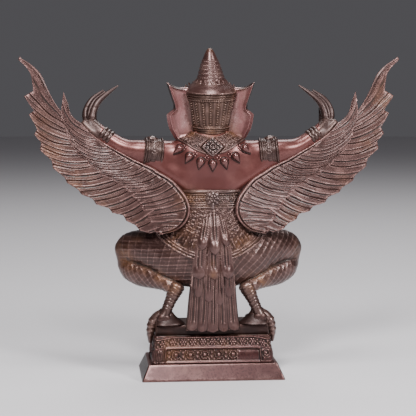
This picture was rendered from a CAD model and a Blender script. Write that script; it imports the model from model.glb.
"""The looks of a winged garuda in cast bronze that squats on a stepped plinth."""
import math

import bmesh
import bpy
import numpy as np
from mathutils import Matrix, Vector
from mathutils.bvhtree import BVHTree


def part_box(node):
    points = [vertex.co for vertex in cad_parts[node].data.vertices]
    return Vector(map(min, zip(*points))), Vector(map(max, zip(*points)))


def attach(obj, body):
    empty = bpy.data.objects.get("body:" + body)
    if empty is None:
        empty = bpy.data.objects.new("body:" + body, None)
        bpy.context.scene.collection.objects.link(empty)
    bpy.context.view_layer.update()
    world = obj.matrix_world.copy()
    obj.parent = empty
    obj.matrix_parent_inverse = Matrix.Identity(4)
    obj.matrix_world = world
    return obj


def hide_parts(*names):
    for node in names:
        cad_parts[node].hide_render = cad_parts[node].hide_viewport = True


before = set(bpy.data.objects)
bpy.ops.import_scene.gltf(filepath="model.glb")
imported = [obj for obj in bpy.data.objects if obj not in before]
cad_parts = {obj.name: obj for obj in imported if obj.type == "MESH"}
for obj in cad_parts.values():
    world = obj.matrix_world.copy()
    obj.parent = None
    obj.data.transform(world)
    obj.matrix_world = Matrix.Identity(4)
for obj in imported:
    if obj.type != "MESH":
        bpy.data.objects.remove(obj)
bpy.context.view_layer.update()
TURN = 2 * math.pi

# Places. The figure is drawn in millimetres above its soles and faces -Y, with its left side at +X.
PLINTH_TOP = 1000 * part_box("plinth")[1].z
SEAT_GAP = 0.3
# How far the plinth's middle lies behind the figure's own.
CENTRE_LINE = 3.45
NECK = (0, 1, 226)
HEAD_TILT = math.radians(-8)
head_place = Matrix.Translation(NECK) @ Matrix.Rotation(HEAD_TILT, 4, "X")

# The share of each piece's triangles that stays, so that all pieces together have under a million.
KEPT_SHARE = 0.47
# Farther out than any skin, where rays onto it start.
OUTSIDE = 90
# Places where the patina has rubbed through to ochre: [x, y, z, reach, strength].
OCHRE_SPOTS = [
    (112, -12, 88, 13, 0.9),
    (106, -6, 74, 12, 0.9),
    (94, 0, 69, 8, 0.8),
    (80, 10, 66, 8, 0.9),
    (66, 18, 58, 8, 0.95),
    (54, 24, 52, 9, 0.95),
    (44, 26, 44, 8, 0.9),
    (88, 2, 104, 8, 0.5),
    (-60, 16, 44, 12, 0.7),
    (-50, 22, 50, 12, 0.9),
    (-74, 8, 62, 8, 0.5),
    (-112, -12, 86, 12, 0.5),
    (23, 12, 226, 9, 0.9),
    (-23, 12, 226, 9, 0.9),
    (0, 20, 226, 9, 0.5),
    (29, 24, 240, 7, 0.8),
    (-29, 24, 244, 7, 0.8),
    (-31, 24, 262, 7, 0.8),
    (-33, 24, 276, 7, 0.9),
    (2, 14, 328, 6, 1.0),
    (30, 30, 151, 13, 0.6),
    (14, 36, 151, 10, 0.4),
    (30, 40, 112, 16, 0.4),
    (48, 34, 102, 10, 0.8),
    (-36, 38, 104, 14, 0.6),
    (0, 46, 62, 5, 0.9),
    (0, 44, 76, 4, 0.6),
    (204, 0, 236, 16, 0.5),
    (190, 0, 204, 20, 0.55),
    (160, 0, 166, 20, 0.6),
    (126, 8, 140, 14, 0.5),
    (96, 10, 122, 12, 0.6),
    (-212, 0, 268, 18, 0.6),
    (-200, 0, 212, 18, 0.6),
    (-160, 0, 166, 14, 0.4),
    (-100, 10, 124, 14, 0.7),
    (60, 40, -18, 9, 0.4),
    (46, 40, -27, 12, 0.35),
    (-14, 40, -18, 14, 0.4),
    (54, 40, -36, 6, 0.5),
    (72, 16, -4, 9, 0.5),
    (30, 40, -34, 18, 0.25),
]


# Curves and relief

def through(keys, places, ends=1.0):
    """Values at places on a smooth curve through keys, whose first column is the place."""
    keys = np.asarray(keys, float)
    at, values = keys[:, 0], keys[:, 1:]
    slope = np.gradient(values, at, axis=0)
    slope[[0, -1]] *= ends
    places = np.asarray(places, float)
    low = np.clip(np.searchsorted(at, places) - 1, 0, len(at) - 2)
    span = (at[low + 1] - at[low])[..., None]
    t = np.clip((places - at[low])[..., None] / span, 0, 1)
    start = (1 + 2 * t) * (1 - t) ** 2 * values[low] + t * (1 - t) ** 2 * span * slope[low]
    end = t * t * (3 - 2 * t) * values[low + 1] + t * t * (t - 1) * span * slope[low + 1]
    return start + end


def lengths(points):
    """How far along a chain of points each of them lies."""
    steps = np.linalg.norm(np.diff(points, axis=0), axis=1)
    return np.concatenate([[0], np.cumsum(steps)])


def ease(value, low, high):
    """0 below low, 1 above high, and smooth between them."""
    t = np.clip((value - low) / (high - low), 0, 1)
    return t * t * (3 - 2 * t)


def dome(distance, size):
    """A round boss of height 1, size across its middle."""
    return np.sqrt(np.clip(1 - (distance / size) ** 2, 0, 1))


def ridge(offset, width):
    """A soft ridge of height 1."""
    return np.exp(-((offset / width) ** 2))


def fold(value, pitch):
    """The offset from the nearest multiple of pitch."""
    return value - pitch * np.round(value / pitch)


def beads(u, v, pitch, size):
    """A row of round beads along u, where v is the distance from the row."""
    return dome(np.hypot(fold(u, pitch), v), size)


def flower(x, y, size, petals=8):
    """A boss with a ring of petals round it."""
    reach = np.hypot(x, y)
    turn = fold(np.arctan2(y, x), TURN / petals)
    petal = dome(np.hypot((reach * np.cos(turn) - 0.64 * size) / 1.1, reach * np.sin(turn)), 0.33 * size)
    return np.maximum(petal, 1.15 * dome(reach, 0.36 * size))


def scroll(x, y, size, hand=1):
    """A spiral ridge that winds out from a small boss."""
    reach = np.hypot(x, y)
    wave = 0.5 + 0.5 * np.cos(hand * np.arctan2(y, x) - 1.6 * TURN * reach / size)
    return np.maximum(wave * (reach < size) * ease(reach, 0.15 * size, 0.4 * size), dome(reach, 0.28 * size))


def normals_of(points, rolled=False):
    """The unit normal at each point of a grid."""
    grid = points
    if rolled:
        grid = np.concatenate([points[:, -2:-1], points, points[:, 1:2]], axis=1)
    across = np.gradient(grid, axis=1)
    along = np.gradient(grid, axis=0)
    normal = np.cross(across, along)
    if rolled:
        normal = normal[:, 1:-1]
    return normal / np.maximum(np.linalg.norm(normal, axis=2, keepdims=True), 1e-9)


def raised(points, height, rolled=False, outward=None):
    """A grid moved out along its normals. Outward is a direction, or else away from each row's middle."""
    normal = normals_of(points, rolled)
    away = points - points.mean(axis=1, keepdims=True) if outward is None else np.asarray(outward, float)
    if (normal * away).sum() < 0:
        normal = -normal
    return points + normal * height[..., None]


# Meshes

def sheet(points, flow=None):
    """A grid of faces moved onto rows of points and welded. Flow is kept for the fine lines."""
    rows, columns = points.shape[:2]
    bm = bmesh.new()
    bmesh.ops.create_grid(bm, x_segments=columns - 1, y_segments=rows - 1, size=1)
    layer = bm.verts.layers.float_vector.new("flow")
    for vert, place in zip(bm.verts, points.reshape(-1, 3)):
        vert.co = place
    if flow is not None:
        for vert, (across, along) in zip(bm.verts, flow.reshape(-1, 2)):
            vert[layer] = (across, along, 0)
    bmesh.ops.remove_doubles(bm, verts=bm.verts, dist=1e-3)
    bmesh.ops.dissolve_degenerate(bm, edges=bm.edges, dist=1e-4)
    bmesh.ops.recalc_face_normals(bm, faces=bm.faces)
    return bm


def capped(points):
    """A rolled grid closed at both ends."""
    first, last = (points[[k]].mean(axis=1, keepdims=True) + 0 * points[[k]] for k in (0, -1))
    return np.concatenate([first, points, last])


def joined(parts):
    """Several bmeshes as one."""
    whole = bmesh.new()
    whole.verts.layers.float_vector.new("flow")
    for part in parts:
        mesh = bpy.data.meshes.new("part")
        part.to_mesh(mesh)
        part.free()
        whole.from_mesh(mesh)
        bpy.data.meshes.remove(mesh)
    return whole


def mirrored(bm):
    """The same piece on the other side of the figure."""
    other = bm.copy()
    for vert in other.verts:
        vert.co.x = -vert.co.x
    bmesh.ops.reverse_faces(other, faces=other.faces)
    return other


def moved(bm, matrix):
    """A piece put in its place."""
    bm.transform(matrix)
    return bm


def ball(around, up, radius=1):
    """A sphere about the origin, with so many faces around and up."""
    bm = bmesh.new()
    bmesh.ops.create_uvsphere(bm, u_segments=around, v_segments=up, radius=radius)
    return bm


def both(make):
    """A piece made for one side and mirrored to the other."""
    one = make()
    return [mirrored(one), one]


def frames_along(centres, facing):
    """The directions along, across and out at each point of a limb's middle line."""
    along = np.gradient(centres, axis=0)
    along /= np.linalg.norm(along, axis=1, keepdims=True)
    across = np.cross(along, facing)
    across /= np.linalg.norm(across, axis=1, keepdims=True)
    return along, across, np.cross(across, along)


# Rings in the rounded end of a limb.
CAP_RINGS = 5


def tube(stations, rows, sides, relief=None, facing=(0, 1, 0), blunt=0.5):
    """A rounded limb through stations of [x, y, z, half width, half thickness]. Relief gives a height for
    each distance along and angle around; blunt is how far its closed ends stand out."""
    stations = np.array([s if len(s) == 5 else (*s, s[3]) for s in stations], float)
    place = lengths(stations[:, :3])
    even = np.linspace(0, place[-1], rows)
    values = through(np.column_stack([place, stations]), even)
    bend = np.linspace(math.pi / 2, 0, CAP_RINGS, endpoint=False)
    lead = np.concatenate([-np.sin(bend) * blunt, np.zeros(rows), np.sin(bend[::-1]) * blunt])
    share = np.concatenate([np.cos(bend), np.ones(rows), np.cos(bend[::-1])])
    pick = np.concatenate([np.zeros(CAP_RINGS, int), np.arange(rows), np.full(CAP_RINGS, rows - 1)])
    along, across, out = frames_along(values[:, :3], facing)
    values, along, across, out = values[pick], along[pick], across[pick], out[pick]
    turn = np.linspace(0, TURN, sides + 1)[None, :, None]
    half, deep = values[:, 3, None, None], values[:, 4, None, None]
    ahead = lead * np.minimum(values[:, 3], values[:, 4])
    centre = values[:, None, :3] + along[:, None] * ahead[:, None, None]
    ring = across[:, None] * np.cos(turn) * half + out[:, None] * np.sin(turn) * deep
    points = centre + ring * share[:, None, None]
    if relief is not None:
        height = relief(even[pick][:, None] + 0 * turn[..., 0], turn[..., 0] + 0 * even[pick][:, None])
        points = raised(points, height * (share[:, None] > 0.2), rolled=True)
        points[:, -1] = points[:, 0]
    points[0] = points[0].mean(axis=0)
    points[-1] = points[-1].mean(axis=0)
    return sheet(points)


def shell(back, front):
    """A closed piece between two grids that lie back to back."""
    middle = (back + front) / 2

    def rolled(near, far):
        return np.concatenate([near, far[:, ::-1], near[:, :1]], axis=1)

    ends = rolled(middle, middle)
    return np.concatenate([ends[:1], rolled(back, front), ends[-1:]], axis=0)


def shell_flow(flow):
    """The flow on all of a shell, from that on one side of it."""
    flow = np.concatenate([flow, flow[:, ::-1], flow[:, :1]], axis=1)
    return np.concatenate([flow[:1], flow, flow[-1:]], axis=0)


def spun(profile, steps, squash):
    """A turned piece about the upright axis, from a profile of [radius, height]."""
    bm = bmesh.new()
    verts = [bm.verts.new((radius, 0, height)) for radius, height in profile]
    edges = [bm.edges.new(pair) for pair in zip(verts, verts[1:])]
    bmesh.ops.spin(
        bm, geom=verts + edges, axis=(0, 0, 1), cent=(0, 0, 0), angle=TURN, steps=steps, use_merge=True
    )
    bmesh.ops.remove_doubles(bm, verts=bm.verts, dist=1e-3)
    bmesh.ops.recalc_face_normals(bm, faces=bm.faces)
    bmesh.ops.scale(bm, vec=(1, squash, 1), verts=bm.verts)
    return bm


def blurred(values, edges, count):
    """Each vertex's value averaged over its neighbours."""
    total = np.zeros_like(values)
    for near, far in ((0, 1), (1, 0)):
        for k in range(values.shape[1]):
            total[:, k] += np.bincount(edges[:, near], values[edges[:, far], k], len(values))
    return total / count[:, None]


def read(mesh):
    """The points and edges of a mesh, and how many edges meet at each point."""
    points = np.zeros(3 * len(mesh.vertices))
    mesh.vertices.foreach_get("co", points)
    edges = np.zeros(2 * len(mesh.edges), int)
    mesh.edges.foreach_get("vertices", edges)
    edges = edges.reshape(-1, 2)
    count = np.maximum(np.bincount(edges.reshape(-1), minlength=len(mesh.vertices)), 1)
    return points.reshape(-1, 3), edges, count


def vertex_normals(mesh):
    """The unit normal at each point of a mesh."""
    normal = np.zeros(3 * len(mesh.vertices))
    mesh.vertex_normals.foreach_get("vector", normal)
    return normal.reshape(-1, 3)


def tree_of(mesh):
    """A mesh's faces, ready for the nearest point or the first one along a ray."""
    return BVHTree.FromPolygons([v.co for v in mesh.vertices], [p.vertices for p in mesh.polygons])


def modified(mesh, kind, **settings):
    """A new mesh, made from another by one modifier."""
    thing = bpy.data.objects.new("modified", mesh)
    bpy.context.scene.collection.objects.link(thing)
    modifier = thing.modifiers.new("modifier", kind)
    for key, value in settings.items():
        setattr(modifier, key, value)
    done = bpy.data.meshes.new_from_object(thing.evaluated_get(bpy.context.evaluated_depsgraph_get()))
    bpy.data.objects.remove(thing)
    return done


def fused(parts, voxel, rounds, blends):
    """Closed pieces made one smooth skin. Blends are places of [x, y, z, reach, rounds] to smooth more."""
    mesh = bpy.data.meshes.new("fused")
    whole = joined(parts)
    whole.to_mesh(mesh)
    whole.free()
    done = modified(mesh, "REMESH", mode="VOXEL", voxel_size=voxel)
    points, edges, count = read(done)
    for _ in range(rounds):
        points += 0.5 * (blurred(points, edges, count) - points)
    for x, y, z, reach, more in blends:
        share = 1 - ease(np.linalg.norm(points - (x, y, z), axis=1), 0.5 * reach, reach)[:, None]
        for _ in range(more):
            points += 0.6 * share * (blurred(points, edges, count) - points)
    done.vertices.foreach_set("co", points.reshape(-1))
    done.update()
    return done


def carved(mesh, height):
    """A skin moved out along its normals by a height for each point and normal."""
    points = read(mesh)[0]
    normal = vertex_normals(mesh)
    points = points + normal * height(points, normal)[:, None]
    mesh.vertices.foreach_set("co", points.reshape(-1))
    mesh.update()
    return mesh


def worn(mesh, reach, depth):
    """How far each point stands above its surroundings: 0 in a hollow, 0.5 on the flat, 1 on a ridge."""
    points, edges, count = read(mesh)
    around = points.copy()
    for _ in range(reach):
        around = blurred(around, edges, count)
    height = ((points - around) * vertex_normals(mesh)).sum(axis=1)[:, None]
    height = 0.5 * (height + blurred(height, edges, count))
    return np.clip(0.5 + height[:, 0] / (2 * depth), 0, 1)


def add(made, name, material, reach, depth, lift=None, other=None):
    """A piece of the figure or plinth in its place, with its wear, patina and material. Reach is how many
    steps round a point are its surroundings, depth the height in millimetres of a full ridge, lift the
    piece's own ground, and other a second material with a test for the faces that get it."""
    mesh = made
    if isinstance(made, bmesh.types.BMesh):
        mesh = bpy.data.meshes.new(name)
        made.to_mesh(mesh)
        made.free()
    mesh.name = name
    rubbed = mesh.attributes.new("worn", "FLOAT", "POINT")
    rubbed.data.foreach_set("value", worn(mesh, reach, depth))
    points = read(mesh)[0]
    ground = PLINTH_TOP + SEAT_GAP if lift is None else lift
    level = points + (0, 0, ground - PLINTH_TOP - SEAT_GAP)
    amount = np.zeros(len(points))
    for x, y, z, spread, strength in OCHRE_SPOTS:
        amount += strength * np.exp(-(((level - (x, y, z)) ** 2).sum(axis=1)) / spread**2)
    ochre = mesh.attributes.new("ochre", "FLOAT", "POINT")
    ochre.data.foreach_set("value", np.clip(amount, 0, 1))
    mesh = modified(mesh, "DECIMATE", ratio=KEPT_SHARE)
    mesh.name = name
    mesh.transform(Matrix.Scale(0.001, 4) @ Matrix.Translation((0, -CENTRE_LINE, ground)))
    mesh.shade_smooth()
    piece = bpy.data.objects.new(name, mesh)
    bpy.context.scene.collection.objects.link(piece)
    mesh.materials.clear()
    mesh.materials.append(material)
    if other:
        mesh.materials.append(other[0])
        for face in mesh.polygons:
            face.material_index = int(other[1](1000 * face.center, face.normal))
    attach(piece, "root")
    return piece


# Materials

def node(tree, kind, inputs=(), **settings):
    """A shader node, with a value or a socket for each input that is given."""
    made = tree.nodes.new("ShaderNode" + kind)
    for key, value in settings.items():
        setattr(made, key, value)
    for key, value in dict(inputs).items():
        if isinstance(value, bpy.types.NodeSocket):
            tree.links.new(value, made.inputs[key])
        else:
            made.inputs[key].default_value = value
    return made


def blend(tree, share, first, second, kind="MIX"):
    """Two colours mixed by a share."""
    made = node(tree, "Mix", data_type="RGBA", blend_type=kind)
    for index, value in ((0, share), (6, first), (7, second)):
        if isinstance(value, bpy.types.NodeSocket):
            tree.links.new(value, made.inputs[index])
        else:
            made.inputs[index].default_value = value
    return made.outputs[2]


def maths(tree, operation, *values, clamp=False):
    """The result of one operation on values or sockets."""
    return node(tree, "Math", dict(enumerate(values)), operation=operation, use_clamp=clamp).outputs[0]


def range_of(tree, value, low, high):
    """A share that goes from 0 at low to 1 at high."""
    made = node(tree, "MapRange", {"Value": value, "From Min": low, "From Max": high})
    return made.outputs["Result"]


def patina_group():
    """Aged bronze: a brown skin, darker in hollows, paler on ridges, ochre where it has rubbed through."""
    tree = bpy.data.node_groups.new("bronze patina", "ShaderNodeTree")
    for name, kind, value in (
        ("Skin", "Color", (0.1, 0.04, 0.035, 1)),
        ("Ridge", "Color", (0.3, 0.16, 0.15, 1)),
        ("Hollow", "Color", (0.02, 0.01, 0.01, 1)),
        ("Ochre", "Color", (0.165, 0.066, 0.024, 1)),
        ("Ochre in hollows", "Float", 0.2),
        ("Roughness", "Float", 0.4),
        ("Grain", "Float", 0.3),
    ):
        socket = tree.interface.new_socket(name, in_out="INPUT", socket_type="NodeSocket" + kind)
        socket.default_value = value
    for name, kind in (("Color", "Color"), ("Roughness", "Float"), ("Height", "Float")):
        tree.interface.new_socket(name, in_out="OUTPUT", socket_type="NodeSocket" + kind)
    given = tree.nodes.new("NodeGroupInput").outputs
    place = node(tree, "TexCoord").outputs["Object"]
    worn_share = node(tree, "Attribute", attribute_name="worn").outputs["Fac"]
    ochre_share = node(tree, "Attribute", attribute_name="ochre").outputs["Fac"]

    def noise(scale, detail=3.0):
        inputs = {"Vector": place, "Scale": scale, "Detail": detail, "Roughness": 0.55}
        return node(tree, "TexNoise", inputs).outputs["Fac"]

    def times(first, second, clamp=False):
        return maths(tree, "MULTIPLY", first, second, clamp=clamp)

    def plus(first, second):
        return maths(tree, "ADD", first, second)

    broad = noise(16)
    patches = noise(70, 4)
    specks = noise(420, 3)
    fine = noise(1500, 2)
    hollow_share = range_of(tree, worn_share, 0.47, 0.18)
    rubbed = times(range_of(tree, worn_share, 0.56, 1.0), range_of(tree, specks, 0.25, 0.6))
    darker = blend(tree, 1.0, given["Skin"], (0.72, 0.6, 0.6, 1), "MULTIPLY")
    skin = blend(tree, range_of(tree, broad, 0.35, 0.68), given["Skin"], darker)
    skin = blend(tree, times(range_of(tree, patches, 0.5, 0.75), 0.35), skin, given["Ridge"])
    skin = blend(tree, times(hollow_share, 0.92), skin, given["Hollow"])
    skin = blend(tree, rubbed, skin, given["Ridge"])
    wanted = plus(ochre_share, times(hollow_share, given["Ochre in hollows"]))
    broken_up = range_of(tree, plus(patches, times(specks, 0.5)), 0.55, 0.95)
    rubbed_through = times(wanted, broken_up, clamp=True)
    skin = blend(tree, rubbed_through, skin, given["Ochre"])
    rough = plus(given["Roughness"], times(hollow_share, 0.22))
    rough = plus(rough, times(rubbed_through, 0.2))
    rough = plus(rough, times(maths(tree, "SUBTRACT", specks, 0.5), 0.16))
    rough = maths(tree, "SUBTRACT", rough, times(rubbed, 0.06), clamp=True)
    height = times(fine, given["Grain"])
    for texture in (specks, patches):
        height = plus(height, times(texture, given["Grain"]))
    out = tree.nodes.new("NodeGroupOutput").inputs
    tree.links.new(skin, out["Color"])
    tree.links.new(rough, out["Roughness"])
    tree.links.new(height, out["Height"])
    return tree


patina = patina_group()
# Less than bare metal's 1, because the patina lies over it.
METALLIC = 0.62
WAX_ROUGHNESS = 0.3
GRAIN_STRENGTH = 0.6
GRAIN_DEPTH = 0.0005
PALE = (0.24, 0.126, 0.113)
DARK = (0.007, 0.003, 0.0025)


def bronze(
    name, skin, ridges, roughness, grain, hollows=DARK, ochre_in_hollows=0.1, lines=None, cells=None, wax=0.4
):
    """A bronze finish, from the colours of its skin, ridges and hollows. Lines are [pitch, height] of fine
    barbs along the flow; cells are [scale, height] of stipple."""
    material = bpy.data.materials.new(name)
    material.use_nodes = True
    tree = material.node_tree
    shader = tree.nodes["Principled BSDF"]
    group = tree.nodes.new("ShaderNodeGroup")
    group.node_tree = patina
    for key, value in (
        ("Skin", (*skin, 1)),
        ("Ridge", (*ridges, 1)),
        ("Hollow", (*hollows, 1)),
        ("Ochre in hollows", ochre_in_hollows),
        ("Roughness", roughness),
        ("Grain", grain),
    ):
        group.inputs[key].default_value = value
    height = group.outputs["Height"]
    if lines:
        pitch, depth = lines
        flow = node(tree, "Attribute", attribute_name="flow").outputs["Vector"]
        split = node(tree, "SeparateXYZ", {"Vector": flow})
        slant = maths(tree, "SUBTRACT", split.outputs["Y"], maths(tree, "ABSOLUTE", split.outputs["X"]))
        wave = maths(tree, "SINE", maths(tree, "MULTIPLY", slant, TURN / pitch))
        height = maths(tree, "ADD", height, maths(tree, "MULTIPLY", wave, depth))
    if cells:
        scale, depth = cells
        place = node(tree, "TexCoord").outputs["Object"]
        stipple = node(tree, "TexVoronoi", {"Vector": place, "Scale": scale}).outputs["Distance"]
        height = maths(tree, "ADD", height, maths(tree, "MULTIPLY", stipple, -depth))
    bump = node(tree, "Bump", {"Height": height, "Strength": GRAIN_STRENGTH, "Distance": GRAIN_DEPTH})
    tree.links.new(group.outputs["Color"], shader.inputs["Base Color"])
    tree.links.new(group.outputs["Roughness"], shader.inputs["Roughness"])
    tree.links.new(bump.outputs["Normal"], shader.inputs["Normal"])
    shader.inputs["Metallic"].default_value = METALLIC
    shader.inputs["Coat Weight"].default_value = wax
    shader.inputs["Coat Roughness"].default_value = WAX_ROUGHNESS
    return material


smooth_bronze = bronze("smooth_bronze", (0.108, 0.027, 0.023), (0.2, 0.075, 0.064), 0.35, 0.06)
gem_bronze = bronze("gem_bronze", (0.12, 0.035, 0.03), (0.2, 0.08, 0.07), 0.16, 0.03, wax=0.8)
claw_bronze = bronze("claw_bronze", (0.042, 0.021, 0.018), (0.12, 0.07, 0.06), 0.42, 0.1, wax=0.15)
polished_bronze = bronze(
    "polished_bronze", (0.22, 0.09, 0.087), (0.5, 0.31, 0.29), 0.27, 0.12,
    hollows=(0.03, 0.01, 0.008), ochre_in_hollows=0.3,
)
feather_bronze = bronze("feather_bronze", (0.06, 0.025, 0.021), PALE, 0.38, 0.08, lines=(2.2, 0.12))
scaled_bronze = bronze(
    "scaled_bronze", (0.056, 0.023, 0.018), (0.25, 0.145, 0.13), 0.36, 0.2, cells=(620, 0.6)
)
tail_bronze = bronze("tail_bronze", (0.08, 0.036, 0.032), (0.28, 0.165, 0.145), 0.34, 0.12)
crown_bronze = bronze(
    "crown_bronze", (0.085, 0.038, 0.033), (0.38, 0.235, 0.205), 0.3, 0.15, ochre_in_hollows=0.35
)
carved_bronze = bronze(
    "carved_bronze", (0.045, 0.019, 0.015), (0.19, 0.115, 0.1), 0.32, 0.15, ochre_in_hollows=0.35
)
trim_bronze = bronze(
    "trim_bronze", (0.042, 0.0175, 0.0145), (0.175, 0.1, 0.088), 0.38, 0.12, ochre_in_hollows=0.3, wax=0.1
)
hair_bronze = bronze(
    "hair_bronze", (0.062, 0.031, 0.023), (0.33, 0.205, 0.17), 0.36, 0.1, ochre_in_hollows=0.7, wax=0.15
)
plaque_bronze = bronze("plaque_bronze", (0.06, 0.029, 0.025), (0.42, 0.3, 0.28), 0.22, 0.04)
plinth_bronze = bronze(
    "plinth_bronze", (0.064, 0.017, 0.016), (0.2, 0.1, 0.09), 0.28, 0.15, ochre_in_hollows=0.3
)
mound_bronze = bronze("mound_bronze", (0.02, 0.0085, 0.0072), (0.07, 0.032, 0.027), 0.42, 0.2, wax=0.1)


# Torso and arms

# The torso from below: [height, how far back its middle lies, half width, half depth].
TORSO = [
    (48, 8, 26, 20),
    (60, 7, 40, 30),
    (85, 5, 49, 36),
    (112, 4, 48, 35),
    (132, 4, 43, 32),
    (161, 2, 40, 28),
    (177, 2, 44, 28),
    (192, 2, 51, 29.5),
    (205, 2, 55, 29.5),
    (216, 3, 49, 25),
    (223, 2, 31, 20),
    (230, 1, 21, 18),
    (246, 0, 19, 17),
]
SQUARENESS = 2.5


def torso_at(heights):
    """Centre, half width and half depth of the torso at heights."""
    table = np.array(TORSO, float)
    return np.stack([np.interp(heights, table[:, 0], table[:, k]) for k in (1, 2, 3)], axis=-1)


def torso_points(heights, turns, lift=0.0):
    """Points on the torso at heights and angles, which are arrays of one shape."""
    centre, half, deep = np.moveaxis(torso_at(heights), -1, 0)
    c, s = np.cos(turns), np.sin(turns)
    round_off = (np.abs(c) ** SQUARENESS + np.abs(s) ** SQUARENESS) ** (-1 / SQUARENESS)
    return np.stack(
        [c * round_off * (half + lift), centre + s * round_off * (deep + lift), heights + 0 * turns], axis=-1
    )


def torso_surface(x, z, facing):
    """How far back or forward the torso's skin lies."""
    centre, half, deep = np.moveaxis(torso_at(np.asarray(z, float)), -1, 0)
    share = np.minimum(np.abs(x) / half, 0.98) ** SQUARENESS
    return centre + facing * deep * (1 - share) ** (1 / SQUARENESS)


# A limb's stations from its root: [x, y, z, half width, half thickness].
ARM = [
    (30, 4, 201, 17, 16),
    (58, 8.4, 204, 15.8, 15.4),
    (81.5, 11, 206.5, 13.6, 13.6),
    (102, 8.2, 210.4, 10.8, 11.4),
    (118.5, 4, 220, 8.8, 9.8),
    (129.5, 1.4, 227.6, 8.4, 9.4),
    (142.5, -8, 239.5, 7.2, 9),
]
# The back runs out under each arm to the rim of the wing.
WEB = [
    (14, 8, 160, 14, 18),
    (34, 13, 172, 14, 15),
    (48, 14, 181, 12.5, 13),
    (64, 12.5, 190, 11, 11),
    (84, 10.5, 198.5, 9.5, 9.5),
    (104, 7, 208, 8, 8),
    (124, 5, 218, 7, 7),
    (140, 2, 229, 6.5, 6.5),
    (151, -3, 240, 5.5, 6.5),
]


def torso_tube(low, high):
    """The torso between two heights."""
    heights = np.linspace(low, high, int(high - low))[:, None]
    turns = np.linspace(0, TURN, 121)[None]
    return sheet(capped(torso_points(heights + 0 * turns, turns + 0 * heights)))


def trunk_relief(points, normal):
    """Breast muscles and a belly in front, shoulder blades behind, and fine scales at the wrists."""
    x, z = np.abs(points[:, 0]), points[:, 2]
    front = ease(-normal[:, 1], 0.1, 0.7)
    behind = ease(normal[:, 1], 0.1, 0.7)
    breast = 3.4 * np.exp(-(((x - 19) / 13) ** 2) - ((z - 187) / 11) ** 2)
    belly = 2.2 * np.exp(-((x / 22) ** 2) - ((z - 128) / 16) ** 2)
    blade = 0.35 * np.exp(-(((x - 20) / 12) ** 2) - ((z - 186) / 14) ** 2)
    fold_line = -0.8 * ridge(z - 166, 3.5) * front * (1 - ease(x, 30, 46))
    scales = np.cos(TURN * (x + 0.4 * z) / 3.9) * np.cos(TURN * (z - 0.5 * x) / 4.4) * ease(x, 124, 134)
    return front * (breast + belly) + behind * blade + fold_line + 0.1 * scales


def trunk():
    """Torso, arms and the web between them as one smooth skin."""
    parts = [torso_tube(151, 246)]
    for stations, sides in ((ARM, 48), (WEB, 44)):
        parts += both(lambda: tube(stations, 90, sides, blunt=0.4))
    blends = []
    for side in (1, -1):
        blends += [(side * x, 12, z, reach, 60) for x, z, reach in (
            (24, 190, 28), (36, 184, 34), (50, 190, 36), (60, 196, 30), (78, 203, 22))]
        blends += [(side * 44, 12, 208, 24, 40), (side * 100, 8, 208, 20, 30)]
    skin = fused(parts, 1.3, 8, blends + [(0, 1, 228, 30, 40)])
    return carved(skin, trunk_relief)


trunk_skin = trunk()
trunk_tree = tree_of(trunk_skin)


# Wings

# The wing's rim from the wrist down to the hip, where its short feathers start, and the line close
# beside it where its long ones do.
RIM = [
    (154, 240),
    (144.4, 229),
    (129.7, 217.5),
    (110.4, 206.5),
    (91.2, 196),
    (73.5, 188),
    (62, 181),
    (50, 174),
    (40.8, 165),
    (31.1, 151.5),
    (27.9, 137),
    (32.8, 123.8),
    (44.2, 113.8),
    (62, 108.6),
]
UNDER_RIM = [
    (152, 233),
    (144, 225.5),
    (130, 214),
    (111, 203),
    (92, 192.5),
    (74, 184.5),
    (62.5, 177.5),
    (51, 170.5),
    (42.5, 162.5),
    (34, 150),
    (31.5, 137),
    (36, 126),
    (46, 117.5),
    (62, 112),
]
# The long feathers, then the short ones, each from the wing's top down: [tip x, tip z, heading at the
# tip, notch x, notch z after it, how far along the rim its middle starts, heading there].
PRIMARIES = [
    (214.4, 315.5, 66, 209.5, 278, 0.02, 30),
    (220.8, 271.5, 42, 209, 254.4, 0.05, 14),
    (215.1, 250.7, 40, 205.5, 233.5, 0.08, -4),
    (209, 226.8, 36, 201, 217, 0.13, -24),
    (202.5, 208.5, 26, 189, 196, 0.19, -36),
    (187.5, 187, 12, 174, 176, 0.28, -42),
    (171, 169.5, 2, 158, 161.5, 0.36, -45),
    (154.5, 156, -8, 141, 150.5, 0.44, -45),
    (137, 144, -12, 122, 139.5, 0.51, -44),
    (118, 134, -14, 105, 131, 0.575, -40),
    (101.5, 124.5, -18, 91, 119.5, 0.65, -32),
    (86, 113.5, -20, 74, 110, 0.76, -22),
]
COVERTS = [
    (174.3, 277, 84, 177, 256, 0.05, 28),
    (177.5, 245, 58, 172, 236, 0.2, -4),
    (171.5, 224, 48, 165, 214, 0.28, -20),
    (162, 206, 38, 151, 198, 0.34, -28),
    (146, 190, 25, 136, 184, 0.405, -33),
    (128, 177, 12, 118, 173, 0.47, -37),
    (110, 167, 4, 102, 162, 0.535, -38),
    (96, 154, -3, 88, 149, 0.6, -35),
    (84, 140, -4, 79, 134, 0.7, -24),
    (75, 127, -10, 71, 119, 0.82, 4),
    (69, 114, -14, 66, 110, 0.93, 12),
]
# Shares of each feather's place in its layer: where the notch before it ends, and its tip.
NOTCH_AT = 0.04
TIP_AT = 0.8
# The first feathers' tips bend over above this height, fully so after this rise.
HOOK_FROM = 292
HOOK_RISE = 25


def wing_depth(x, z):
    """The wing's plate lies on the hips at its inner end and sweeps forward to its tip."""
    above = 180 + 0.56 * (x - 62) - z
    return 4 + 29 * np.exp(-(x - 28) / 75) + 0.1 * above * np.exp(-(x - 28) / 120)


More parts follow.
